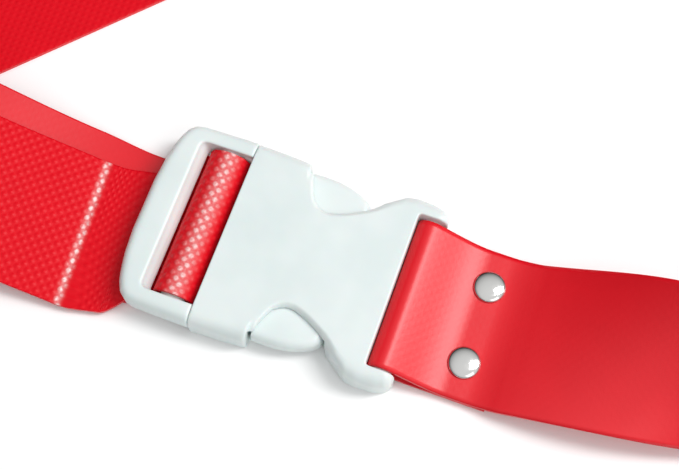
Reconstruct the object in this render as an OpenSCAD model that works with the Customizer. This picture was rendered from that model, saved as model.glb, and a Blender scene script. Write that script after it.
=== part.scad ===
// Luggage strap: one coated strip, a side-release buckle and two rivets.
// +X runs along the buckle from the plug to the housing, +Z is up and z = 0 is the table.
// The origin is on the housing's flat underside, in the middle of its width.

/* [Strap] */
// Width of the strap
strap_w = 50; // [49:0.5:50]
// Thickness of the strap
strap_t = 1.2; // [1:0.1:1.2]
// Distance from the origin to where the two runs would cross at the fold
fold_x = 185; // [183:1:190]
// Angle between the two runs that leave the fold
run_angle = 47.2; // [46:0.1:48.5]
// Radius of the soft turn at the fold
fold_r = 9; // [8.8:0.1:9.2]
// Radius of the far bend, where the strap stands on its edge
bend_r = 175; // [170:1:180]
// Distance from the origin to the end of the loose tail
tail_end = 272; // [268:1:290]

/* [Buckle housing] */
// Height of the housing
housing_h = 12.6; // [12.4:0.1:13]
// Thickness of the housing's top and bottom skins
skin = 2.2; // [2:0.1:2.2]
// Half width of the housing at its mouth
mouth_half = 32; // [31.5:0.1:32.5]
// Radius of the bar that the strap's riveted loop goes round
anchor_r = 3.3; // [3:0.1:3.3]

/* [Buckle plug] */
// Half width of the plug's frame
frame_half = 31.4; // [31:0.1:31.6]
// Half length of the opening for the strap, between the two rails
slot_half = 26; // [25.6:0.1:26.2]
// Half width of the ladder bar
ladder_half = 4; // [3.6:0.1:4]
// Height of the ladder bar
ladder_h = 6; // [5.6:0.1:6]

/* [Rivets] */
// Diameter of a rivet's domed cap
cap_d = 10.4; // [10:0.1:10.8]
// Diameter of a rivet's post
post_d = 4; // [3.6:0.1:4.4]
// Distance between the two rivets
rivet_pitch = 26; // [24:0.5:28]

/* [Hidden] */
$fn = 64;

red = "#d8232a";
plastic_white = "#f2f6f6";
nickel = "#c9cbcc";

mouth_x = -28.2;      // plane of the housing's mouth
lip_end = -10;        // where the mouth's lip stops and the buttons begin
socket_end = 13.6;    // blind end of the socket
web_end = 27.2;       // face of the housing that looks at the anchor bar
horn_end = 37.5;      // ends of the two horns that hold the anchor bar
horn_inner = 25.8;    // half of the gap between the horns
lip_half = 26.9;      // half width of the socket inside the lip
anchor_x = 32.7;
anchor_z = 6.5;
anchor_wrap = 4;      // radius of the strap's middle line round the anchor bar

frame_z = 3.4;        // underside of the plug's frame
frame_end = -28.3;    // ends of the two rails, against the housing's mouth
frame_top = 12.5;
end_bar_z = 6.5;      // underside of the end bar, over both layers of the strap
slot_back = -43.5;
slot_front = -28.5;
ladder_x = -35.9;
ladder_z = 7.8;
beam_front = -21;     // face of the cross beam inside the housing's mouth
beam_half = 26.4;
pivot_x = -24;        // bending point of a latch arm
pivot_y = 23.5;
pivot_r = 2;
button_z = [2.6, 10];

rivet_x = 56;
under_z = 1.4;        // middle of the under layer at the rivets
over_z = under_z + strap_t + 0.1;
under_end = 66.5;
wrap_leave = 66;      // angle on the anchor rod at which the strap leaves it
loop_end = 70;

wrap_a = 6.3;         // half axes of the strap's middle line round the ladder bar
wrap_b = 5.5;
load_z = 0.9;         // middle of the load run as it reaches the buckle
tail_z = 2.3;         // middle of the tail as it leaves the buckle
wrap_z = load_z + wrap_b;
wrap_start = -40;
tail_start = -45.5;
exit_r = 1.8;         // radius of the turn out of the ladder bar into the tail

run_y = -1;           // line on which the two ends of the far bend's strap lie
back_len = bend_r / tan(run_angle / 2);
bend_x = back_len - fold_x;
half = strap_w / 2;
lead_end = 60;        // distances from the crossing point, along the back run
back_start = 61.5;
flat_end = 150;

across = [cos(90 + run_angle / 2), sin(90 + run_angle / 2), 0];   // axis of the fold
inward = [cos(run_angle / 2), sin(run_angle / 2), 0];
heading = [cos(run_angle), sin(run_angle), 0];
outward = [-sin(run_angle), cos(run_angle), 0];
up = [0, 0, 1];
slant = tan(run_angle / 2);                    // drift along the fold's axis
fold_low = strap_t / 2 + 0.1;
fold_top = fold_low + 2 * fold_r;
fold_back = slant * PI * fold_r / (2 * sin(run_angle / 2));   // crossing point to the turn
fold_in = [fold_back - fold_x, run_y, 0];

// Heights of the strap's middle line: [place along x, height, slope]
rise_knots = [[60, over_z, 0], [75, 7, 0.38], [111, 20.3, 0.24], [165, half, 0], [999, half, 0]];
load_knots = [[-999, fold_top, 0], [-156, fold_top, 0], [-62, load_z, 0], [99, load_z, 0]];
tail_over = 1.5;      // height of the tail's middle over the load run's
tail_knots = [[-999, 0.8, 0], [-252, 0.8, 0], [-182, fold_top + tail_over, 0],
              [-156, fold_top + tail_over, 0], [-62, tail_z, 0], [99, tail_z, 0]];

function mix(a, b, f) = a + (b - a) * f;
function ease(f) = let (c = min(max(f, 0), 1)) c * c * (3 - 2 * c);
function hermite(a, b, x) =
  let (w = b[0] - a[0], f = (x - a[0]) / w)
  (1 + 2 * f) * (1 - f) * (1 - f) * a[1] + f * (1 - f) * (1 - f) * w * a[2]
  + f * f * (3 - 2 * f) * b[1] + f * f * (f - 1) * w * b[2];
function height(knots, x, k = 0) =
  x <= knots[k + 1][0] ? hermite(knots[k], knots[k + 1], x) : height(knots, x, k + 1);
function steps(a, b, n) = [for (i = [0:n]) a + (b - a) * i / n];

// A band runs through stations of [middle, half-width arrow, face normal].
module band(stations) {
  n = len(stations);
  corners = [[-1, -1], [1, -1], [1, 1], [-1, 1]];
  points = [for (s = stations) for (c = corners) s[0] + c[0] * s[1] + c[1] * strap_t / 2 * s[2]];
  sides = [for (i = [0:n - 2]) for (k = [0:3])
    let (a = 4 * i + k, b = 4 * i + (k + 1) % 4)
    each [[b, a, a + 4], [b, a + 4, b + 4]]];
  last = 4 * n - 4;
  ends = [[0, 1, 2], [0, 2, 3], [last + 2, last + 1, last], [last + 3, last + 2, last]];
  polyhedron(points, concat(sides, ends));
}

// The cross-section of a strap bent along a line of [x, z] points, drawn out over its width.
module bent_strip(line) {
  n = len(line);
  normals = [for (i = [0:n - 1])
    let (d = line[min(i + 1, n - 1)] - line[max(i - 1, 0)])
    [-d[1], d[0]] / norm(d)];
  over = [for (i = [0:n - 1]) line[i] + normals[i] * strap_t / 2];
  under = [for (i = [n - 1:-1:0]) line[i] - normals[i] * strap_t / 2];
  rotate([90, 0, 0])
    linear_extrude(strap_w, center = true)
      polygon(concat(over, under));
}

module both_sides() {
  children();
  mirror([0, 1, 0]) children();
}

module slab(z0, z1) {
  translate([0, 0, z0]) linear_extrude(z1 - z0) children();
}

module block(x, y, z) {
  translate([x[0], y[0], z[0]]) cube([x[1] - x[0], y[1] - y[0], z[1] - z[0]]);
}

// Half outlines of the housing, seen from above.
module lip_half() {
  polygon([[mouth_x, 0], [mouth_x, mouth_half], [lip_end, mouth_half - 0.9], [lip_end, 0]]);
}

module skin_half() {
  polygon([[lip_end, 0], [lip_end, 27.8], [-8.5, 27.3], [-6.6, 22.2], [-5.4, 18.4], [-3.5, 16.3],
           [0.9, 15.4], [6.1, 17], [11, 19.3], [15.2, 21.9], [18.8, 25.4], [21.5, 28.6],
           [22.5, 31], [22.5, 0]]);
}

module flare_half() {
  polygon([[socket_end, 0], [socket_end, 24.2], [16, 26], [19, 28.2], [22.5, 31], [26, 31.5],
           [33, 31], [36.6, 29.4], [horn_end, 26.8], [horn_end, 0]]);
}

module buckle_housing() {
  color(plastic_white) {
    difference() {
      union() {
        slab(0, housing_h) both_sides() lip_half();
        slab(0, housing_h) both_sides() skin_half();
        slab(skin, housing_h - skin) both_sides() flare_half();
        intersection() {
          slab(0, housing_h) both_sides() flare_half();
          block([20, horn_end], [-40, 40], [0, housing_h]);
        }
      }
      block([mouth_x - 1, lip_end + 0.5], [-lip_half, lip_half], [skin, housing_h - skin]);
      block([lip_end, socket_end], [-40, 40], [skin, housing_h - skin]);
      block([socket_end - 1, 17], [-8, 8], [skin, housing_h - skin]);
      block([web_end, horn_end + 1], [-horn_inner, horn_inner], [-1, housing_h + 1]);
    }
    translate([anchor_x, 0, anchor_z]) rotate([90, 0, 0])
      cylinder(h = 2 * horn_inner + 1, r = anchor_r, center = true);
  }
}

module at_rivets() {
  for (side = [-1, 1]) translate([rivet_x, side * rivet_pitch / 2, 0]) children();
}

// Domed caps, each the slice of a ball over the top layer.
module rivet_caps() {
  dome_h = 1.8;
  ball_r = (cap_d * cap_d / 4 + dome_h * dome_h) / (2 * dome_h);
  base = over_z + strap_t / 2;
  color(nickel) at_rivets()
    intersection() {
      translate([0, 0, base + dome_h - ball_r]) sphere(r = ball_r);
      translate([0, 0, base]) cylinder(h = dome_h + 1, r = cap_d / 2);
    }
}

module rivet_posts() {
  base = under_z - strap_t / 2;
  color(nickel) at_rivets() {
    cylinder(h = base, r = cap_d / 2 - 0.5);
    cylinder(h = over_z + strap_t / 2, r = post_d / 2);
  }
}

module strap_anchor_loop() {
  wrap = [for (a = steps(270, wrap_leave, 21)) [anchor_x, anchor_z] + anchor_wrap * [cos(a), sin(a)]];
  low = anchor_z - anchor_wrap;
  under = [for (x = steps(under_end, anchor_x + 1, 12)) [x, mix(low, under_z, ease((x - 33) / 9))]];
  slope_knots = [[wrap[21][0], wrap[21][1], -1 / tan(wrap_leave)], [54, over_z, 0]];
  slope = [for (x = steps(wrap[21][0] + 0.8, 54, 14)) [x, height(slope_knots, x)]];
  rise = [for (x = steps(55.5, loop_end, 10)) [x, x < 60 ? over_z : height(rise_knots, x)]];
  color(red) difference() {
    bent_strip(concat(under, wrap, slope, rise));
    at_rivets() translate([0, 0, -1]) cylinder(h = 6, r = post_d / 2 + 0.05);
    at_rivets() translate([0, 0, over_z + strap_t / 2]) cylinder(h = 3, r = cap_d / 2);
  }
}

// The right run leaves the rivets flat and turns until it stands on its edge.
module strap_right_run() {
  color(red) band([for (x = steps(loop_end + 0.2, bend_x, 30))
    let (f = (x - loop_end) / (bend_x - loop_end), roll = 90 * ease(f) + 7 * sin(180 * f))
    [[x, 3.6 * sin(180 * f) + run_y * ease(f), height(rise_knots, x)],
     half * [0, cos(roll), sin(roll)], [0, -sin(roll), cos(roll)]]]);
}

module strap_far_bend() {
  color(red) band([for (a = steps(-90, 90 + run_angle, 60))
    let (out = [cos(a), sin(a), 0])
    [[bend_x, run_y + bend_r, half] + bend_r * out, half * up, out]]);
}

// The back run falls outward from its edge until it lies flat with its other face up.
module strap_back_run() {
  color(red) band([for (d = steps(back_len, back_start, 40))
    let (roll = 90 * ease((d - flat_end) / (back_len - flat_end)))
    [[-fold_x, run_y, 0] + d * heading + (half * sin(roll) + fold_low * cos(roll)) * up,
     half * (cos(roll) * outward + sin(roll) * up), sin(roll) * outward - cos(roll) * up]]);
}

module strap_back_lead() {
  color(red) band([for (d = steps(lead_end, fold_back, 6))
    let (turn = (1 - ease((d - fold_back) / 22)) * run_angle / 2, side = 90 + run_angle - turn)
    [[-fold_x, run_y, fold_low] + d * heading,
     half / cos(turn) * [cos(side), sin(side), 0], -up]]);
}

// Half a turn round the fold's axis. Straight lines across the strap follow that axis.
module strap_fold() {
  color(red) band([for (a = steps(180, 0, 18))
    let (q = fold_r * a * PI / 180, out = cos(a) * up - sin(a) * inward)
    [fold_in + slant * q * across + (fold_top - fold_r) * up + fold_r * out,
     half / cos(run_angle / 2) * across, out]]);
}

module strap_load_run() {
  color(red) band([for (x = steps(fold_in[0] + 0.1, wrap_start, 36))
    let (turn = (1 - ease((x - fold_in[0]) / 26)) * run_angle / 2,
         y = run_y - 2.8 * ease((x - fold_in[0]) / 100) - 1.4 * ease((x + 80) / 22)
           + 5.2 * ease((x + 52) / 12))
    [[x, y, height(load_knots, x)],
     half / cos(turn) * [-sin(turn), cos(turn), 0], up]]);
}

module strap_ladder_wrap() {
  flat = [for (x = steps(wrap_start + 0.2, ladder_x - 0.5, 3)) [x, load_z]];
  roll = [for (a = steps(-90, 180, 30)) [ladder_x + wrap_a * cos(a), wrap_z + wrap_b * sin(a)]];
  side_x = ladder_x - wrap_a;
  exit = [for (a = steps(0, -90, 8)) [side_x - exit_r, tail_z + exit_r] + exit_r * [cos(a), sin(a)]];
  color(red) bent_strip(concat(flat, roll, exit, [[tail_start, tail_z]]));
}

module strap_tail() {
  color(red) band([for (x = steps(tail_start - 0.2, -tail_end, 50))
    let (y = -11 * ease((-45.5 - x) / 12) - 2.5 * ease((-54 - x) / 16) + 6 * ease((-x - 100) / 140),
         trim = x + tail_end < 2 ? 2 : 0)
    [[x, y, height(tail_knots, x)], (half - trim) * [0, 1, 0], -up]]);
}

// The frame of the plug: two rails, an end bar raised over the strap, and a collar.
module frame_half_outline() {
  polygon([[-55.8, 0], [-55.6, 12], [-53.5, 24], [-51.8, 28.2], [-48, frame_half],
           [frame_end, frame_half], [frame_end, 0]]);
}

module plug_frame() {
  color(plastic_white) difference() {
    union() {
      difference() {
        slab(frame_z, frame_top) both_sides() frame_half_outline();
        block([slot_back, frame_end + 1], [-slot_half, slot_half], [0, 20]);
        block([-60, slot_front], [-slot_half, slot_half], [0, end_bar_z]);
      }
      translate([ladder_x, 0, ladder_z]) rotate([90, 0, 0]) ladder_bar();
      block([slot_front, beam_front], [-beam_half, beam_half], [3, 10]);
      both_sides() block([slot_front - 3, beam_front], [beam_half - 1, beam_half], [3.6, 10]);
      block([beam_front - 1, 14], [-6, 6], [4.4, 8.4]);
      for (side = [-5.2, 0, 5.2])
        block([beam_front - 1, 10], [side - 0.8, side + 0.8], [3, 9.8]);
    }
    both_sides() {
      block([pivot_x, beam_front + 1], [pivot_y - 5, pivot_y + 5], [0, 20]);
      translate([pivot_x, pivot_y, 0]) cylinder(h = 20, r = pivot_r + 0.4);
    }
  }
}

module ladder_bar() {
  offset_x = ladder_half - ladder_h / 2;
  linear_extrude(2 * slot_half + 1, center = true) {
    square([2 * offset_x, ladder_h], center = true);
    for (side = [-1, 1]) translate([side * offset_x, 0]) circle(r = ladder_h / 2);
  }
}

// A springy arm with a thumb button that fills the gap in the housing's side.
module latch_arm() {
  slab(3.2, 9.8) {
    translate([pivot_x, pivot_y]) circle(r = pivot_r);
    polygon([[pivot_x, pivot_y - 1.7], [pivot_x, pivot_y + 1.7], [-8, pivot_y + 2.2],
             [-8, pivot_y - 2.6]]);
  }
  slab(button_z[0], button_z[1])
    polygon([[-8.6, 28.8], [0, 28.8], [4, 28.2], [8, 27], [11.4, 25], [13, 23.4], [13, 20.6],
             [6, 18.4], [-3, 18], [-8.6, 20.5]]);
}

module latch_arm_rear() {
  color(plastic_white) latch_arm();
}

module latch_arm_front() {
  color(plastic_white) mirror([0, 1, 0]) latch_arm();
}

buckle_housing();
rivet_caps();
rivet_posts();
strap_anchor_loop();
strap_right_run();
strap_far_bend();
strap_back_run();
plug_frame();
latch_arm_rear();
latch_arm_front();
strap_back_lead();
strap_fold();
strap_load_run();
strap_ladder_wrap();
strap_tail();
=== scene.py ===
# %% [markdown]
# # A luggage strap with a side-release buckle
# A luggage strap is one long strip of coated cloth. It goes round a suitcase and closes with a
# two-part plastic buckle. This script builds it as it lies on a table. The imported frame gives
# the bodies that move, and most pieces made here ride on one of them.

# %% Load the frame
import math
import bmesh
import bpy
import numpy as np
from mathutils import Matrix, Vector


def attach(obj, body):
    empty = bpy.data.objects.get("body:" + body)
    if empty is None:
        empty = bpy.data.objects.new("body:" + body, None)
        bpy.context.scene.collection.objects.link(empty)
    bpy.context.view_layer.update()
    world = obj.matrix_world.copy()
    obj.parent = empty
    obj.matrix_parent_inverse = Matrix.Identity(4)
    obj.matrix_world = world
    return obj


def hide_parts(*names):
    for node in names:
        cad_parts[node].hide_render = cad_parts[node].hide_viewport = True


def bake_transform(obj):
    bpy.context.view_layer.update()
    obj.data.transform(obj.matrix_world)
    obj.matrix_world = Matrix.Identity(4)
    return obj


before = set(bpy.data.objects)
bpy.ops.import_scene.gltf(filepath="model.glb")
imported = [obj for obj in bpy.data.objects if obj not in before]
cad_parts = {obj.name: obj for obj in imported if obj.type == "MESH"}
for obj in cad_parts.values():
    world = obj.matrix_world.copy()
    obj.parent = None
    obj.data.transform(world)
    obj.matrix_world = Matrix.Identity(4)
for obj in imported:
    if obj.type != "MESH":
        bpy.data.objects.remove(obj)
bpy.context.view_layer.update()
MM = 0.001

# %% [markdown]
# The camera looks down on the buckle from a little to the right. A long lens keeps the edges
# of the buckle close to parallel, as a product shot does. The camera comes first, because the
# shape of everything else is judged through it.

# %% Camera
camera_elevation = math.radians(70.5)
camera_azimuth = math.radians(19.8)
camera_distance = 0.42
camera_target = Vector((0.0051, 0.0146, 0))

right = Vector((math.cos(camera_azimuth), math.sin(camera_azimuth), 0))
ahead = Vector((-math.sin(camera_azimuth), math.cos(camera_azimuth), 0))
back = Vector((0, 0, math.sin(camera_elevation))) - ahead * math.cos(camera_elevation)
camera = bpy.data.objects.new("camera", bpy.data.cameras.new("camera"))
bpy.context.scene.collection.objects.link(camera)
camera.data.lens = 68.93
camera.data.clip_start = 0.01
turn = Matrix((right, back.cross(right), back)).transposed()
camera.matrix_world = Matrix.Translation(camera_target + back * camera_distance) @ turn.to_4x4()
bpy.context.scene.camera = camera
print("camera at", tuple(round(x, 3) for x in camera.matrix_world.translation))


# %% [markdown]
# Two small helpers serve every finish. One turns an sRGB hex colour into the linear values that
# Blender's shaders expect. The other adds a node with its settings and its links in one call.

# %% Colour and node helpers
def linear(hex_colour):
    values = [int(hex_colour[i:i + 2], 16) / 255 for i in (1, 3, 5)]
    return tuple(v / 12.92 if v <= 0.04045 else ((v + 0.055) / 1.055) ** 2.4 for v in values) + (1,)


def add_node(tree, kind, links=(), **settings):
    """Adds a node. settings are its attributes, or its inputs when the name is an input's.
    links pairs an input with a (node, output) to join it to."""
    node = tree.nodes.new(kind)
    inputs = settings.pop("inputs", {})
    for key, value in settings.items():
        setattr(node, key, value)
    for key, value in inputs.items():
        node.inputs[key].default_value = value
    for key, (source, output) in dict(links).items():
        tree.links.new(source.outputs[output], node.inputs[key])
    return node


def new_material(name):
    material = bpy.data.materials.new(name)
    material.use_nodes = True
    return material, material.node_tree, material.node_tree.nodes["Principled BSDF"]


# %% [markdown]
# The buckle is moulded acetal: a dense, slightly waxy white plastic with a faint cool tint. A
# mould leaves it satin, never a mirror. A very fine noise in the bump keeps the highlights from
# looking like glass, and a slow noise in the colour gives the faint unevenness of thick walls.

# %% Moulded white acetal
def make_acetal():
    material, tree, shader = new_material("moulded white acetal")
    place = add_node(tree, "ShaderNodeTexCoord")
    slow = add_node(tree, "ShaderNodeTexNoise", {"Vector": (place, "Object")},
                    inputs={"Scale": 60, "Detail": 2})
    tint = add_node(tree, "ShaderNodeValToRGB", {"Fac": (slow, "Fac")})
    tint.color_ramp.elements[0].color = linear("#dae5e4")
    tint.color_ramp.elements[0].position = 0.35
    tint.color_ramp.elements[1].color = linear("#e1eae9")
    tint.color_ramp.elements[1].position = 0.65
    tree.links.new(tint.outputs["Color"], shader.inputs["Base Color"])
    grain = add_node(tree, "ShaderNodeTexNoise", {"Vector": (place, "Object")},
                     inputs={"Scale": 2500, "Detail": 2})
    bump = add_node(tree, "ShaderNodeBump", {"Height": (grain, "Fac")},
                    inputs={"Strength": 0.12, "Distance": 0.00005})
    tree.links.new(bump.outputs["Normal"], shader.inputs["Normal"])
    shader.inputs["Roughness"].default_value = 0.38
    shader.inputs["IOR"].default_value = 1.48
    shader.inputs["Subsurface Weight"].default_value = 0.12
    shader.inputs["Subsurface Scale"].default_value = 0.002
    return material


acetal = make_acetal()
print("made", acetal.name)

# %% [markdown]
# The rivets are steel with bright nickel plate. Nickel is a little warmer and darker than
# chrome. Setting a rivet leaves a faint turned pattern and tiny scuffs on its cap, so the
# roughness varies slowly between 0.07 and 0.17.

# %% Bright nickel plate
def make_nickel():
    material, tree, shader = new_material("bright nickel plate")
    place = add_node(tree, "ShaderNodeTexCoord")
    scuffs = add_node(tree, "ShaderNodeTexNoise", {"Vector": (place, "Object")},
                      inputs={"Scale": 900, "Detail": 4})
    rough = add_node(tree, "ShaderNodeMapRange", {"Value": (scuffs, "Fac")},
                     inputs={"From Min": 0.3, "From Max": 0.7, "To Min": 0.07, "To Max": 0.17})
    tree.links.new(rough.outputs["Result"], shader.inputs["Roughness"])
    bump = add_node(tree, "ShaderNodeBump", {"Height": (scuffs, "Fac")},
                    inputs={"Strength": 0.1, "Distance": 0.00006})
    tree.links.new(bump.outputs["Normal"], shader.inputs["Normal"])
    shader.inputs["Base Color"].default_value = linear("#dededc")
    shader.inputs["Metallic"].default_value = 1
    return material


nickel = make_nickel()
print("made", nickel.name)

# %% [markdown]
# The strap is a woven polyester cloth under a red vinyl coat. The coat lies smooth and glossy on
# one face, and on the other face the yarns press through it as rows of small bumps that run at
# 45 degrees to the strap. Each point carries its place along and across the strap, in
# millimetres, so the weave follows every fold. The two faces are two finishes, because their
# gloss differs all over.

# %% Red vinyl coat
weave_pitch = 2.35          # mm between neighbouring bumps along a diagonal
weave_wave = 2 * math.pi / weave_pitch / math.sqrt(2)


def weave_height(tree):
    """The bumps: a product of two cosines along the two diagonals of the strap."""
    strip = add_node(tree, "ShaderNodeAttribute", attribute_name="strip")
    axes = add_node(tree, "ShaderNodeSeparateXYZ", {"Vector": (strip, "Vector")})
    waves = []
    for operation in ("ADD", "SUBTRACT"):
        diagonal = add_node(tree, "ShaderNodeMath", {0: (axes, "X"), 1: (axes, "Y")},
                            operation=operation)
        phase = add_node(tree, "ShaderNodeMath", {0: (diagonal, "Value")}, operation="MULTIPLY",
                         inputs={1: weave_wave})
        wave = add_node(tree, "ShaderNodeMath", {0: (phase, "Value")}, operation="COSINE")
        waves.append(add_node(tree, "ShaderNodeMath", {0: (wave, "Value")},
                              operation="MULTIPLY_ADD", inputs={1: 0.5, 2: 0.5}))
    product = add_node(tree, "ShaderNodeMath", {0: (waves[0], "Value"), 1: (waves[1], "Value")},
                       operation="MULTIPLY")
    return strip, axes, product


def make_vinyl(name, base, dark, roughness, specular, weave_depth, with_painted_highlight):
    material, tree, shader = new_material(name)
    strip, axes, weave = weave_height(tree)
    mottle = add_node(tree, "ShaderNodeTexNoise", {"Vector": (strip, "Vector")},
                      inputs={"Scale": 0.09, "Detail": 3})
    tone = add_node(tree, "ShaderNodeMixRGB", {"Fac": (mottle, "Fac")},
                    inputs={"Color1": linear(dark), "Color2": linear(base)})
    colour = tone
    # Painted highlight: a pale pink is mixed onto the tops of the bumps along the crease and the
    # roll's ridge, standing in for the glint of light there.
    if with_painted_highlight:
        painted_highlight = add_node(tree, "ShaderNodeAttribute", attribute_name="painted_highlight")
        speck = add_node(tree, "ShaderNodeTexNoise", {"Vector": (strip, "Vector")},
                         inputs={"Scale": 1.3, "Detail": 3})
        broken_highlight = add_node(tree, "ShaderNodeMath", {0: (painted_highlight, "Fac"), 1: (speck, "Fac")},
                          operation="MULTIPLY")
        raised = add_node(tree, "ShaderNodeMapRange", {"Value": (weave, "Value")},
                          inputs={"From Min": 0.05, "From Max": 0.6, "To Min": 0.3, "To Max": 1})
        highlight_share = add_node(tree, "ShaderNodeMath", {0: (broken_highlight, "Value"), 1: (raised, "Result")},
                         operation="MULTIPLY", use_clamp=True)
        colour = add_node(tree, "ShaderNodeMixRGB",
                          {"Fac": (highlight_share, "Value"), "Color1": (tone, "Color")},
                          inputs={"Color2": linear("#ffe9e6")})
    tree.links.new(colour.outputs["Color"], shader.inputs["Base Color"])
    fine = add_node(tree, "ShaderNodeTexNoise", {"Vector": (strip, "Vector")},
                    inputs={"Scale": 2.2, "Detail": 2})
    low = add_node(tree, "ShaderNodeBump", {"Height": (fine, "Fac")},
                   inputs={"Strength": 0.25, "Distance": 0.00012})
    relief = add_node(tree, "ShaderNodeBump",
                      {"Height": (weave, "Value"), "Normal": (low, "Normal")},
                      inputs={"Strength": 1, "Distance": weave_depth * MM})
    tree.links.new(relief.outputs["Normal"], shader.inputs["Normal"])
    shader.inputs["Roughness"].default_value = roughness
    shader.inputs["IOR"].default_value = 1.53
    shader.inputs["Specular IOR Level"].default_value = specular
    return material


vinyl_smooth = make_vinyl("glossy red vinyl coat", "#e3061c", "#d90218", 0.36, 0.5, 0.012, False)
vinyl_woven = make_vinyl("red vinyl over woven polyester", "#e2041b", "#d70217", 0.4, 0.15, 0.11,
                         True)
print("made", vinyl_smooth.name, "and", vinyl_woven.name)

# %% [markdown]
# The strap's lay is worked out from the same few sizes as the frame's. It starts at the riveted
# loop, runs to the right and turns onto its edge, goes round the far bend, comes back along the
# table with its other face up, folds over, and runs under the end bar to the ladder bar. A coated
# strip hardly stretches, so each stretch is a ruled surface: straight lines across the strap,
# carried along its middle line. All of it is in millimetres until the mesh is made.

# %% The strap's driving sizes
strap_w, strap_t = 50, 1.2
half = strap_w / 2
fold_x, run_y, fold_r, bend_r = 185, -1, 9, 175
beta = math.radians(47.2)
over_z, under_z = 2.7, 1.4
anchor_x, anchor_z, anchor_wrap = 32.7, 6.5, 4
ladder_x, wrap_a, wrap_b, load_z, tail_z = -35.9, 6.3, 5.5, 0.9, 2.3
loop_end, under_end, tail_start, tail_end = 70, 66.5, -45.5, -272
wrap_leave = math.radians(66)      # where on the anchor bar the strap leaves it
slope_end = 54                     # where the loop's slope meets the rivets' level
flat_end = 150                     # along the back run, where the strap begins to turn on edge
back_ease, load_ease = 22, 26      # lengths in which the fold's slant dies out
tail_over = 1.5                    # the tail's middle over the load run's
crease_x, crease_lean = 72.2, 0.07
corner_r = 3                       # round corners of the tail's end

back_len = bend_r / math.tan(beta / 2)
bend_x = back_len - fold_x
drift = math.tan(beta / 2)
fold_low = strap_t / 2 + 0.1
fold_top = fold_low + 2 * fold_r
fold_back = drift * math.pi * fold_r / (2 * math.sin(beta / 2))
up = np.array([0, 0, 1.0])
across = np.array([math.cos(math.pi / 2 + beta / 2), math.sin(math.pi / 2 + beta / 2), 0])
inward = np.array([math.cos(beta / 2), math.sin(beta / 2), 0])
heading = np.array([math.cos(beta), math.sin(beta), 0])
outward = np.array([-math.sin(beta), math.cos(beta), 0])
print("back run", round(back_len), "mm, far bend about x =", round(bend_x), "mm")


# %% [markdown]
# Heights follow a few chosen knots, joined by cubic curves that keep their slope. An easing curve
# blends everything else, so no stretch starts or stops with a kink.

# %% Easing and height curves
def ease(f):
    c = min(max(f, 0.0), 1.0)
    return c * c * (3 - 2 * c)


def mix(a, b, f):
    return a + (b - a) * f


def height(knots, x):
    for (x0, z0, m0), (x1, z1, m1) in zip(knots, knots[1:]):
        if x <= x1:
            break
    w = x1 - x0
    f = min(max((x - x0) / w, 0), 1)
    return ((1 + 2 * f) * (1 - f) ** 2 * z0 + f * (1 - f) ** 2 * w * m0
            + f * f * (3 - 2 * f) * z1 + f * f * (f - 1) * w * m1)


rise_knots = [(60, over_z, 0), (75, 7, 0.38), (111, 20.3, 0.24), (165, half, 0), (999, half, 0)]
load_knots = [(-999, fold_top, 0), (-156, fold_top, 0), (-62, load_z, 0), (99, load_z, 0)]
tail_knots = [(-999, 0.8, 0), (-252, 0.8, 0), (-182, fold_top + tail_over, 0),
              (-156, fold_top + tail_over, 0), (-62, tail_z, 0), (99, tail_z, 0)]
print("the load run comes down from", round(fold_top, 1), "to", load_z, "mm")

# %% [markdown]
# A station is the strap's middle point, an arrow to its edge, and the way its glossy face looks.
# Each stretch below is a list of them. The loop and the roll round the ladder bar bend only in
# the x-z plane, so one function makes their stations from a plain line.

# %% Stretches of the strap
def bent(line, y=0.0):
    line = np.array(line, float)
    ahead_of = np.gradient(line, axis=0)
    ahead_of /= np.linalg.norm(ahead_of, axis=1)[:, None]
    return [((x, y, z), (0, half, 0), (-dz, 0, dx)) for (x, z), (dx, dz) in zip(line, ahead_of)]


def anchor_loop():
    low = anchor_z - anchor_wrap
    line = [(x, mix(low, under_z, ease((x - 33) / 9))) for x in np.linspace(under_end, 33.7, 34)]
    line += [(anchor_x + anchor_wrap * math.cos(a), anchor_z + anchor_wrap * math.sin(a))
             for a in np.linspace(1.5 * math.pi, wrap_leave, 28)]
    slope = [(*line[-1], -1 / math.tan(wrap_leave)), (slope_end, over_z, 0)]
    line += [(x, height(slope, x)) for x in np.linspace(line[-1][0] + 0.8, slope_end, 24)]
    line += [(x, over_z if x < 60 else height(rise_knots, x))
             for x in np.linspace(slope_end + 1, loop_end, 15)]
    return bent(line)


def right_run():
    stations = []
    for x in np.linspace(loop_end + 1, bend_x, 130):
        f = (x - loop_end) / (bend_x - loop_end)
        roll = math.radians(90 * ease(f) + 7 * math.sin(math.pi * f))
        stations.append(((x, 3.6 * math.sin(math.pi * f) + run_y * ease(f), height(rise_knots, x)),
                         (0, half * math.cos(roll), half * math.sin(roll)),
                         (0, -math.sin(roll), math.cos(roll))))
    return stations


def far_bend():
    stations = []
    for a in np.linspace(-math.pi / 2, math.pi / 2 + beta, 320)[1:]:
        out = np.array([math.cos(a), math.sin(a), 0])
        stations.append((np.array([bend_x, run_y + bend_r, half]) + bend_r * out, half * up, out))
    return stations


def back_run(count):
    stations = []
    for d in np.linspace(back_len, fold_back, count):
        roll = math.pi / 2 * ease((d - flat_end) / (back_len - flat_end))
        lean = (1 - ease((d - fold_back) / back_ease)) * beta / 2
        side = math.cos(lean) * outward + math.sin(lean) * heading
        middle = np.array([-fold_x, run_y, 0]) + d * heading
        middle = middle + (half * math.sin(roll) + fold_low * math.cos(roll)) * up
        edge = half * (math.cos(roll) * side / math.cos(lean) + math.sin(roll) * up)
        stations.append((middle, edge, math.sin(roll) * outward - math.cos(roll) * up))
    return stations


def fold():
    start = np.array([fold_back - fold_x, run_y, fold_top - fold_r])
    stations = []
    for a in np.linspace(math.pi, 0, 60):
        out = math.cos(a) * up - math.sin(a) * inward
        stations.append((start + drift * fold_r * a * across + fold_r * out,
                         half / math.cos(beta / 2) * across, out))
    return stations


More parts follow.
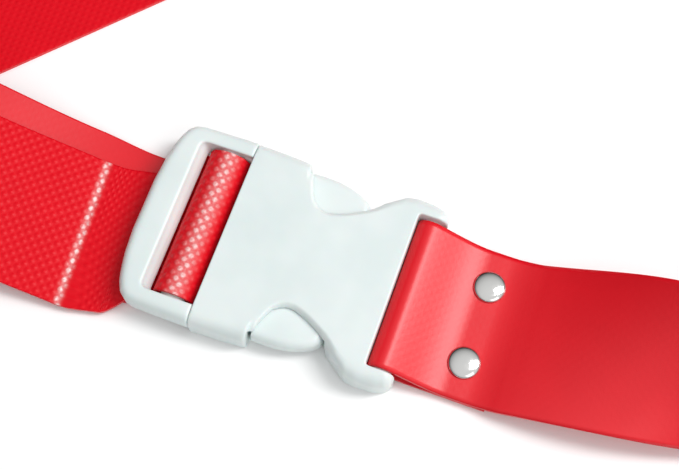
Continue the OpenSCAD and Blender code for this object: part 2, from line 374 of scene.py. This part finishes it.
def load_run():
    start = fold_back - fold_x
    stations = []
    for x in np.linspace(start, -40, 240)[1:]:
        lean = (1 - ease((x - start) / load_ease)) * beta / 2
        y = run_y - 2.8 * ease((x - start) / 100) - 1.4 * ease((x + 80) / 22)
        y += 5.2 * ease((x + 52) / 12)
        stations.append(((x, y, height(load_knots, x)),
                         (-half * math.tan(lean), half, 0), (0, 0, 1)))
    return stations


def ladder_roll():
    wrap_z = load_z + wrap_b
    side_x, exit_r = ladder_x - wrap_a, 1.8
    line = [(x, load_z) for x in np.linspace(-39.5, ladder_x - 0.5, 7)]
    line += [(ladder_x + wrap_a * math.cos(a), wrap_z + wrap_b * math.sin(a))
             for a in np.linspace(-0.5 * math.pi, math.pi, 56)]
    line += [(side_x - exit_r + exit_r * math.cos(a), tail_z + exit_r + exit_r * math.sin(a))
             for a in np.linspace(0, -0.5 * math.pi, 9)]
    line += [(x, tail_z) for x in np.linspace(side_x - exit_r - 0.5, tail_start, 3)]
    return bent(line)


def crease_gap(x, v):
    """Distance from the bend line in the tail, at a place v across it."""
    return x + crease_x + crease_lean * v


def tail():
    stations = []
    for x in np.linspace(tail_start, tail_end, 400):
        y = -11 * ease((tail_start - x) / 12) - 2.5 * ease((-54 - x) / 16)
        y += 6 * ease((-x - 100) / 140)
        corner = corner_r - math.sqrt(max(corner_r ** 2 - max(tail_end + corner_r - x, 0) ** 2, 0))
        stations.append(((x, y, height(tail_knots, x)), (0, half - corner, 0), (0, 0, -1)))
    return stations


print("the stretches are set out")

# %% [markdown]
# The mesh of a stretch has two skins, a strap's thickness apart, joined round the rim. The woven
# skin is lifted into real bumps wherever its grid is fine enough to hold them, and the shader
# adds the rest. Two attributes go with every point: its place on the strip, and how much painted
# highlight, pale colour standing in for glints of light, it carries there.

# %% Build a stretch as a closed mesh
def weave_bump(along, over):
    return 0.25 * (1 + np.cos(weave_wave * (along + over))) * (
        1 + np.cos(weave_wave * (along - over)))


def strap_piece(name, stations, columns, bumps=0.0, shape=None, along_start=0.0):
    middle, side, face = (np.array(part, float) for part in zip(*stations))
    face /= np.linalg.norm(face, axis=1)[:, None]
    ahead_of = np.gradient(middle, axis=0)
    steps = np.linalg.norm(np.diff(middle, axis=0), axis=1)
    along = along_start + np.concatenate([[0], np.cumsum(steps)])
    ahead_of /= np.linalg.norm(ahead_of, axis=1)[:, None]
    v = np.linspace(-1, 1, columns)
    points = middle[:, None] + v[None, :, None] * side[:, None]
    lead = np.sum(side * ahead_of, axis=1)
    width = np.linalg.norm(side - lead[:, None] * ahead_of, axis=1)
    s = along[:, None] + v[None] * lead[:, None]
    over = v[None] * width[:, None]
    painted_highlight = np.zeros_like(s)
    if shape:
        points, painted_highlight = shape(points, over)
    lift = bumps * weave_bump(s, over)
    glossy = points + face[:, None] * strap_t / 2
    woven = points - face[:, None] * (strap_t / 2 - 0.5 * bumps + lift)[..., None]
    return skins_to_mesh(name, glossy, woven, s, over, painted_highlight), float(along[-1])


def skins_to_mesh(name, glossy, woven, s, over, painted_highlight):
    rows, columns = s.shape
    count = rows * columns
    i = np.arange(count).reshape(rows, columns)
    a, b, c, d = i[:-1, :-1], i[1:, :-1], i[1:, 1:], i[:-1, 1:]
    top = np.stack([a, b, c, d], -1).reshape(-1, 4)
    loop = np.concatenate([i[0, :-1], i[:-1, -1], i[-1, :0:-1], i[:0:-1, 0]])
    following = np.roll(loop, -1)
    rim = np.stack([loop, following, following + count, loop + count], -1)
    faces = np.concatenate([top, top[:, ::-1] + count, rim])
    mesh = bpy.data.meshes.new(name)
    mesh.from_pydata(np.concatenate([glossy, woven]).reshape(-1, 3) * MM, [], faces.tolist())
    strip = mesh.attributes.new("strip", "FLOAT_VECTOR", "POINT")
    place = np.stack([s, over, np.zeros_like(s)], -1).reshape(-1, 3)
    strip.data.foreach_set("vector", np.tile(place, (2, 1)).ravel())
    # The second attribute is a painted highlight: how much pale colour stands in for glints of
    # light.
    highlight_layer = mesh.attributes.new("painted_highlight", "FLOAT", "POINT")
    highlight_layer.data.foreach_set("value", np.tile(painted_highlight.ravel(), 2))
    mesh.materials.append(vinyl_smooth)
    mesh.materials.append(vinyl_woven)
    kinds = np.zeros(len(faces), np.int32)
    kinds[len(top):2 * len(top)] = 1
    mesh.polygons.foreach_set("material_index", kinds)
    mesh.polygons.foreach_set("use_smooth", np.arange(len(faces)) < 2 * len(top))
    mesh.update()
    piece = bpy.data.objects.new(name, mesh)
    bpy.context.scene.collection.objects.link(piece)
    facing_out(piece)
    return piece


def facing_out(piece):
    """Turns every face outwards, which a strip made on either hand may need."""
    work = bmesh.new()
    work.from_mesh(piece.data)
    if work.calc_volume(signed=True) < 0:
        bmesh.ops.reverse_faces(work, faces=work.faces)
    work.to_mesh(piece.data)
    work.free()


# %% [markdown]
# Where the tail has been folded hard, a painted highlight whitens the tops of the bumps along the
# crease, in place of the glint of light on its bumps. The strap keeps a shallow valley there, and
# its shape and its painted highlight have one measure in common: the distance to the crease. The
# only other painted highlight is a few pale bumps along the top of the roll.

# %% The crease in the tail
def crease(points, over):
    gap = crease_gap(points[..., 0], over)
    points = points.copy()
    left, right = np.maximum(-gap, 0), np.maximum(gap, 0)
    points[..., 2] += 0.17 * left * np.exp(-left / 14) + 0.1 * right * np.exp(-right / 5)
    # The second result is a painted highlight along the crease line, in place of the glint of light
    # on its bumps.
    return points, 1.9 * np.exp(-(gap / 0.95) ** 2)


def roll_painted_highlight(points, over):
    """A painted highlight pales the bumps along the top of the roll, where light glints off its
    ridge.
    """
    top = (points[..., 2] > 8) & (points[..., 0] > -60)
    ridge = np.exp(-((points[..., 0] - ladder_x - 0.6) / 2.1) ** 2)
    return points, np.where(top, 1.4 * ridge, 0)


print("the crease crosses the tail at about x =", -crease_x, "mm")

# %% [markdown]
# The stretches now become four closed meshes. Each one takes up the strip where the last one left
# off, so the weave runs on without a break. The two pieces nearest the buckle have real bumps.

# %% Make the strap's four pieces
long_run, long_mm = strap_piece("strap_long_run", anchor_loop() + right_run() + far_bend(), 35)
back_piece, back_mm = strap_piece("strap_return", back_run(520), 63, along_start=long_mm)
buckle_end, buckle_mm = strap_piece("strap_buckle_end", fold() + load_run() + ladder_roll(), 91,
                                    bumps=0.16, shape=roll_painted_highlight, along_start=back_mm)
tail_piece, tail_mm = strap_piece("strap_loose_tail", tail(), 91, bumps=0.16, shape=crease,
                                  along_start=buckle_mm)
print("strap length", round(tail_mm), "mm")

# %% [markdown]
# The buckle's parts are mouldings, so every outside edge is rounded and every join is filleted.
# Each one is roughed out from simple bodies: an outline seen from above, drawn up through a few
# levels that step inwards near the top to round the shoulder. Booleans cut the pockets. A voxel
# remesh then makes one even skin, and a smooth takes the sharp edges off, as a mould does.

# %% Moulding helpers
def rounded(top, bottom, radius, low_radius, steps=6):
    """Levels (height, inset) of a body with a round shoulder above and a smaller one below."""
    turns = [math.pi / 2 * i / steps for i in range(steps + 1)]
    lower = [(bottom + low_radius * (1 - math.sin(a)), low_radius * (1 - math.cos(a)))
             for a in reversed(turns)]
    upper = [(top - radius * (1 - math.sin(a)), radius * (1 - math.cos(a))) for a in turns]
    return lower + upper


def mesh_object(name, points, faces):
    mesh = bpy.data.meshes.new(name)
    mesh.from_pydata([Vector(p) * MM for p in points], [], faces)
    work = bmesh.new()
    work.from_mesh(mesh)
    bmesh.ops.remove_doubles(work, verts=work.verts, dist=1e-7)
    bmesh.ops.triangulate(work, faces=work.faces)
    bmesh.ops.recalc_face_normals(work, faces=work.faces)
    work.to_mesh(mesh)
    work.free()
    piece = bpy.data.objects.new(name, mesh)
    bpy.context.scene.collection.objects.link(piece)
    return piece


def body(outline, levels):
    """outline holds (x, y, inset along x, inset along y); levels hold (height, inset)."""
    n = len(outline)
    points = [(x - inset * ix, y - inset * iy, z)
              for z, inset in levels for x, y, ix, iy in outline]
    faces = [tuple(range(n))[::-1], tuple(range(n * len(levels) - n, n * len(levels)))]
    for k in range(len(levels) - 1):
        for i in range(n):
            j = (i + 1) % n
            faces.append((k * n + i, k * n + j, k * n + n + j, k * n + n + i))
    return mesh_object("body", points, faces)


def mirrored(half_outline):
    return half_outline + [(x, -y, ix, -iy) for x, y, ix, iy in reversed(half_outline)]


def block(x, y, z):
    return body([(x[0], y[0], 0, 0), (x[1], y[0], 0, 0), (x[1], y[1], 0, 0), (x[0], y[1], 0, 0)],
                [(z[0], 0), (z[1], 0)])


def rod(x, z, half_length, half_wide, half_high, sides=40):
    points = []
    for y in (-half_length, half_length):
        points += [(x + half_wide * math.cos(a), y, z + half_high * math.sin(a))
                   for a in np.linspace(0, 2 * math.pi, sides, endpoint=False)]
    faces = [tuple(range(sides)), tuple(range(sides, 2 * sides))]
    faces += [(i, (i + 1) % sides, sides + (i + 1) % sides, sides + i) for i in range(sides)]
    return mesh_object("rod", points, faces)


def combine(piece, tool, operation):
    cutter = piece.modifiers.new("combine", "BOOLEAN")
    cutter.operation = operation
    cutter.solver = "EXACT"
    cutter.object = tool
    settle(piece)
    bpy.data.objects.remove(tool)
    return piece


def settle(piece):
    """Makes the evaluated shape the piece's own mesh, and drops its modifiers."""
    shape = bpy.data.meshes.new_from_object(
        piece.evaluated_get(bpy.context.evaluated_depsgraph_get()))
    piece.modifiers.clear()
    piece.data = shape


def mould(piece, name, voxel, passes):
    remesh = piece.modifiers.new("remesh", "REMESH")
    remesh.mode = "VOXEL"
    remesh.voxel_size = voxel * MM
    remesh.use_smooth_shade = True
    smooth = piece.modifiers.new("smooth", "SMOOTH")
    smooth.factor = 0.5
    smooth.iterations = passes
    settle(piece)
    piece.name = piece.data.name = name
    piece.data.materials.clear()
    piece.data.materials.append(acetal)
    return piece


# %% [markdown]
# The housing is a flat box, open at the mouth. Both skins have a scoop on each side, so that
# fingers reach the thumb buttons, and its tail flares into two horns that hold the anchor bar.
# The scoop is a dish: its rim is wide on the top face and narrows towards the button.

# %% Buckle housing
mouth_x, web_end, horn_end, housing_h = -28.2, 27.9, 37.5, 12.6

housing_edge = [(mouth_x, 0, 0, 0), (mouth_x, 32, 0, 1), (-18, 31.7, 0, 1), (-10.4, 31.2, 0, 1),
                (-9.6, 30.9, 0, 1), (-9.6, 28.4, 0, 1), (0, 28, 0, 1), (8, 26.2, 0, 1),
                (13, 24.6, 0, 1), (16, 26, 0.3, 1), (19, 28.2, 0.4, 1), (22.5, 30.8, 0.2, 1),
                (26, 31.5, 0, 1), (32, 31.2, 0, 1), (35.4, 30.2, 0.3, 0.8), (37, 28.8, 0.6, 0.5),
                (horn_end, 27, 0.8, 0.1), (horn_end, 0, 0.8, 0)]
scoop_rim = [(-8.5, 27.6), (-7.7, 24.6), (-6.6, 21.4), (-5.2, 18.3), (-3.2, 16.3), (-1.2, 15.5),
             (1.2, 15.4), (4, 16.2), (7, 17.4), (10.5, 19.2), (13.5, 20.9), (16, 22.8), (18.4, 25),
             (20.2, 27.2), (21.6, 29.6), (22.4, 32), (22.4, 40), (-8.5, 40)]
scoop_foot = (1.5, 26)


def scoop(flip):
    """A dish with its rim on the top face, or underneath when flipped."""
    points = []
    n = len(scoop_rim)
    depths = [(14, 1.06), (12.7, 1.0), (11.6, 0.9), (10.4, 0.84), (2, 0.8)]
    if flip:
        depths = [(-1.4, 1.06), (-0.1, 1.0), (1.0, 0.9), (2.2, 0.84), (10.4, 0.8)]
    for z, size in depths:
        for x, y in scoop_rim:
            points.append((mix(scoop_foot[0], x, size if x > 0 else 1.0 - (1 - size) * 0.3),
                           mix(scoop_foot[1], y, size) if y < 26 else y, z))
    faces = [tuple(range(n)), tuple(range(4 * n, 5 * n))]
    for k in range(4):
        faces += [(k * n + i, k * n + (i + 1) % n, k * n + n + (i + 1) % n, k * n + n + i)
                  for i in range(n)]
    return points, faces


def make_housing():
    shell = body(mirrored(housing_edge)[1:-1], rounded(housing_h, 0, 4.2, 1.6))
    for hollow in (block((-30, -9.6), (-26.9, 26.9), (2.2, 10.4)),
                   block((-9.7, 13.8), (-40, 40), (2.2, 10.5)),
                   block((13, 17), (-8, 8), (2.2, 10.4)),
                   block((web_end, 50), (-25.8, 25.8), (-5, 20))):
        combine(shell, hollow, "DIFFERENCE")
    for hand in (1, -1):
        for flip in (False, True):
            points, faces = scoop(flip)
            dish = mesh_object("dish", [(x, hand * y, z) for x, y, z in points], faces)
            if flip:
                combine(dish, block((-9, 14.5), (-40, 40), (-5, 20)), "INTERSECT")
            combine(shell, dish, "DIFFERENCE")
    combine(shell, rod(anchor_x, anchor_z, 26.4, 3.3, 3.3), "UNION")
    return mould(shell, "buckle_socket", 0.42, 7)


socket = make_housing()
print("socket:", len(socket.data.polygons), "faces")

# %% [markdown]
# The plug's frame is a deep picture frame. Its end bar stands over both layers of the strap, and
# its inner face slopes so that the strap does not scrape an edge. The ladder bar sits low
# between the rails. Behind the collar, the beam and the ribbed tongue go into the housing.

# %% Buckle plug
frame_half, frame_low, frame_top, frame_end = 31.4, 3.4, 12.5, -28.3
frame_edge = [(-56.0, 0, -1, 0), (-55.8, 9, -1, 0.05), (-55.1, 17, -1, 0.1), (-54.1, 22.6, -1, 0.2),
              (-53.1, 26.2, -0.9, 0.4), (-51.6, 29.2, -0.7, 0.7), (-49.6, 30.8, -0.4, 0.9),
              (-47, frame_half, -0.1, 1), (-40, 31.6, 0, 1), (frame_end, 31.8, 0, 1),
              (frame_end, 0, 0, 0)]


def slot_cut(top_back, low_back, front, half_length, z0, z1):
    """The strap's opening, wider at the top where the end bar's inner face slopes back."""
    levels = [(z0, 0), (6.8, 0), (9.5, 0.35), (11.4, 0.75), (z1, 1)]
    slope = top_back - low_back
    ring = []
    for cx, cy, start in ((low_back + 2, half_length - 2, 90),
                          (low_back + 2, 2 - half_length, 180),
                          (front - 1.6, 1.6 - half_length, 270),
                          (front - 1.6, half_length - 1.6, 0)):
        r = 2 if cx < (low_back + front) / 2 else 1.6
        for k in range(5):
            a = math.radians(start + 90 * k / 4)
            lean = -slope if cx < (low_back + front) / 2 else 0
            ring.append((cx + r * math.cos(a), cy + r * math.sin(a), lean, 0))
    return body(ring, levels)


def make_plug():
    shell = body(mirrored(frame_edge)[1:-1], rounded(frame_top, frame_low, 2.8, 0.8))
    combine(shell, slot_cut(-46.4, -43.5, frame_end + 2, 26, -1, 14), "DIFFERENCE")
    combine(shell, block((-60, -43), (-26, 26), (0, 6.5)), "DIFFERENCE")
    combine(shell, rod(ladder_x, 7.8, 26.6, 4, 3), "UNION")
    combine(shell, block((-28.5, -26.2), (-26.4, 26.4), (3, 10)), "UNION")
    combine(shell, block((-27, -21), (-18.3, 18.3), (3, 10)), "UNION")
    for low, high in ((25.4, 26.4), (-26.4, -25.4)):
        combine(shell, block((-31.5, -26.2), (low, high), (3.6, 10)), "UNION")
    combine(shell, block((-22, 14), (-6, 6), (4.4, 8.4)), "UNION")
    for rib in (-5.2, 0, 5.2):
        combine(shell, block((-22, 10), (rib - 0.8, rib + 0.8), (3, 9.8)), "UNION")
    return mould(shell, "buckle_plug", 0.42, 7)


plug = make_plug()
print("plug:", len(plug.data.polygons), "faces")

# %% [markdown]
# A latch arm is a thin springy strip with a thumb button on its end. The button's outside is a
# crowned pad, and its square heel hooks behind the housing's lip, which is what holds the
# buckle shut.

# %% Latch arms
button_edge = [(-8.6, 28.9, 0, 0.9), (-5, 29.1, 0, 1), (0, 28.9, 0, 1), (4, 28.2, 0, 1),
               (8, 26.9, 0.2, 1), (10.8, 25.4, 0.5, 0.8), (12.6, 23.6, 0.9, 0.4), (13, 21.8, 1, 0),
               (12.4, 17.5, 0.6, -0.2), (6, 14.8, 0, -0.2), (-3, 13.8, 0, -0.2), (-7, 16, 0, 0),
               (-8.6, 19.5, 0, 0)]


def make_arm(hand, name):
    button = body([(x, hand * y, ix, hand * iy) for x, y, ix, iy in button_edge],
                  rounded(10.1, 2.5, 2.6, 2.0))
    strip = body([(-24.5, hand * 21.8, 0, 0), (-24.5, hand * 25.2, 0, 0), (-8, hand * 25.7, 0, 0),
                  (-8, hand * 20.9, 0, 0)], [(3.2, 0), (9.8, 0)])
    combine(button, strip, "UNION")
    return mould(button, name, 0.35, 6)


arms = {"rear": make_arm(1, "latch_button_rear"), "front": make_arm(-1, "latch_button_front")}
print("arms:", [len(arm.data.polygons) for arm in arms.values()], "faces")

# %% [markdown]
# The two rivets repeat, so Geometry Nodes place them: a mesh line gives one point for each, and
# the turned cap is instanced on it. The cap's outline is spun once, with a small flat rim, a
# domed crown and a turned-under edge. The post and foot go in the same way from below.

# %% Rivets
def turned(name, profile, sides=64):
    """A closed solid of revolution about +Z. profile holds (radius, height) from axis to axis."""
    points, faces = [(0, 0, profile[0][1])], []
    for r, z in profile[1:-1]:
        points += [(r * math.cos(a), r * math.sin(a), z)
                   for a in np.linspace(0, 2 * math.pi, sides, endpoint=False)]
    points.append((0, 0, profile[-1][1]))
    rings = len(profile) - 2
    for i in range(sides):
        j = (i + 1) % sides
        faces.append((0, 1 + j, 1 + i))
        for k in range(rings - 1):
            a, b = 1 + k * sides + i, 1 + k * sides + j
            faces.append((a, b, b + sides, a + sides))
        faces.append((1 + (rings - 1) * sides + i, 1 + (rings - 1) * sides + j, len(points) - 1))
    piece = mesh_object(name, points, faces)
    piece.data.polygons.foreach_set("use_smooth", [True] * len(piece.data.polygons))
    return piece


def place_tree(material):
    """Places copies of an object on a short line of points, then joins them."""
    tree = bpy.data.node_groups.new("rivets on a line", "GeometryNodeTree")
    wanted = [("Part", "NodeSocketObject"), ("Count", "NodeSocketInt"),
              ("First", "NodeSocketVector"), ("Pitch", "NodeSocketVector")]
    keys = {name: tree.interface.new_socket(name, in_out="INPUT", socket_type=kind).identifier
            for name, kind in wanted}
    tree.interface.new_socket("Geometry", in_out="OUTPUT", socket_type="NodeSocketGeometry")
    given = add_node(tree, "NodeGroupInput")
    line = add_node(tree, "GeometryNodeMeshLine",
                    {"Count": (given, "Count"), "Start Location": (given, "First"),
                     "Offset": (given, "Pitch")})
    part = add_node(tree, "GeometryNodeObjectInfo", {"Object": (given, "Part")})
    placed = add_node(tree, "GeometryNodeInstanceOnPoints",
                      {"Points": (line, "Mesh"), "Instance": (part, "Geometry")})
    real = add_node(tree, "GeometryNodeRealizeInstances", {"Geometry": (placed, "Instances")})
    coated = add_node(tree, "GeometryNodeSetMaterial", {"Geometry": (real, "Geometry")},
                      inputs={"Material": material})
    add_node(tree, "NodeGroupOutput", {"Geometry": (coated, "Geometry")})
    return tree, keys


rivet_x, rivet_pitch = 56, 26
cap_low = over_z + strap_t / 2
cap_profile = [(0, cap_low), (4.6, cap_low), (5.05, cap_low + 0.12), (5.2, cap_low + 0.38),
               (5.08, cap_low + 0.72), (4.75, cap_low + 1.0), (4.2, cap_low + 1.25),
               (3.4, cap_low + 1.48), (2.4, cap_low + 1.66), (1.3, cap_low + 1.76),
               (0, cap_low + 1.8)]
post_profile = [(0, 0.05), (4.3, 0.05), (4.6, 0.2), (4.6, 0.5), (4.3, 0.78), (2, 0.8),
                (2, cap_low), (0, cap_low)]
rivet_tree, rivet_keys = place_tree(nickel)


def rivets(name, profile):
    part = turned(name + "_part", profile)
    piece = bpy.data.objects.new(name, bpy.data.meshes.new(name))
    bpy.context.scene.collection.objects.link(piece)
    placing = piece.modifiers.new("place", "NODES")
    placing.node_group = rivet_tree
    placing[rivet_keys["Part"]] = part
    placing[rivet_keys["Count"]] = 2
    placing[rivet_keys["First"]] = (rivet_x * MM, -rivet_pitch / 2 * MM, 0)
    placing[rivet_keys["Pitch"]] = (0, rivet_pitch * MM, 0)
    settle(piece)
    bpy.data.objects.remove(part)
    return piece


caps = rivets("rivet_domed_caps", cap_profile)
posts = rivets("rivet_feet", post_profile)
print("rivets:", len(caps.data.polygons) + len(posts.data.polygons), "faces")

# %% [markdown]
# The buckle's pieces, the rivets and two of the strap's pieces now ride on a body and stand in
# for their plain CAD nodes. The return and the tail have their places baked into their meshes
# and stand in for theirs. The strap's cut size is printed for each stretch.


for piece, rides_on, stands_for, slot in (
        (socket, "housing", ["buckle_housing"], "buckle_plastic"),
        (plug, "plug", ["plug_frame"], "buckle_plastic"),
        (arms["rear"], "rear_latch", ["latch_arm_rear"], "buckle_plastic"),
        (arms["front"], "front_latch", ["latch_arm_front"], "buckle_plastic"),
        (caps, "housing", ["rivet_caps"], "rivet_metal"),
        (posts, "housing", ["rivet_posts"], "rivet_metal"),
        (long_run, "housing", ["strap_anchor_loop", "strap_right_run", "strap_far_bend"],
         "strap_fabric"),
        (buckle_end, "plug", ["strap_fold", "strap_load_run", "strap_ladder_wrap"],
         "strap_fabric")):
    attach(piece, rides_on)
    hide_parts(*stands_for)

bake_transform(back_piece)
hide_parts("strap_back_run", "strap_back_lead")
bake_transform(tail_piece)
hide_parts("strap_tail")

sheets = ((long_run, long_mm, "hung", [socket]),
          (back_piece, back_mm - long_mm, "laid", [long_run]),
          (buckle_end, buckle_mm - back_mm, "folded", [plug]),
          (tail_piece, tail_mm - buckle_mm, "draped", [buckle_end]))
for piece, length, held, under in sheets:
    print(piece.name, "cut", strap_w, "x", round(length), "mm")

# %% [markdown]
# The strap lies on a plain white table top, in the even light of a product table. The surround is
# bright overhead and dark near the horizon. One long soft panel stands high behind the strap on
# the right: it draws the pale sheen on the strap's slopes and the glint on the rivets, and leaves
# soft short shadows on the near side. A weak fill on the near side opens those shadows.

# %% Table and light
def make_floor():
    mesh = bpy.data.meshes.new("table_top")
    reach = 3.0
    corners = [(-reach, -reach, 0), (reach, -reach, 0), (reach, reach, 0), (-reach, reach, 0)]
    mesh.from_pydata(corners, [], [(0, 1, 2, 3)])
    top = bpy.data.objects.new("table_top", mesh)
    bpy.context.scene.collection.objects.link(top)
    material, tree, shader = new_material("white table laminate")
    shader.inputs["Base Color"].default_value = linear("#ffffff")
    shader.inputs["Roughness"].default_value = 0.9
    shader.inputs["Specular IOR Level"].default_value = 0.1
    mesh.materials.append(material)


def panel(name, place, aim, size, watts):
    light = bpy.data.objects.new(name, bpy.data.lights.new(name, "AREA"))
    bpy.context.scene.collection.objects.link(light)
    light.data.shape = "RECTANGLE"
    light.data.size, light.data.size_y = size
    light.data.energy = watts
    light.location = place
    light.rotation_euler = (Vector(aim) - Vector(place)).to_track_quat("-Z", "Y").to_euler()
    return light


make_floor()
panel("key panel", (0.68, 0.37, 1.05), (0, 0, 0), (0.35, 0.8), 11)
panel("fill panel", (0.8, -0.5, 0.9), (0.05, 0, 0), (0.7, 0.7), 1.2)


def make_surround():
    """Bright overhead and a little to the right, and dark towards the horizon."""
    world = bpy.data.worlds.new("studio surround")
    bpy.context.scene.world = world
    world.use_nodes = True
    tree = world.node_tree
    way = add_node(tree, "ShaderNodeTexCoord")
    towards = add_node(tree, "ShaderNodeVectorMath", {0: (way, "Generated")},
                       operation="DOT_PRODUCT", inputs={1: (0.3, -0.12, 0.946)})
    level = add_node(tree, "ShaderNodeMapRange", {"Value": (towards, "Value")},
                     interpolation_type="SMOOTHSTEP",
                     inputs={"From Min": 0.1, "From Max": 0.95, "To Min": 0.04, "To Max": 0.84})
    background = tree.nodes["Background"]
    tree.links.new(level.outputs["Result"], background.inputs["Color"])
    background.inputs["Strength"].default_value = 1


make_surround()
bpy.context.scene.view_settings.view_transform = "Standard"
print("lit by two panels and a bright surround")

# %% [markdown]
# The scene is brought up to date at the end.

# %% Finish
bpy.context.view_layer.update()
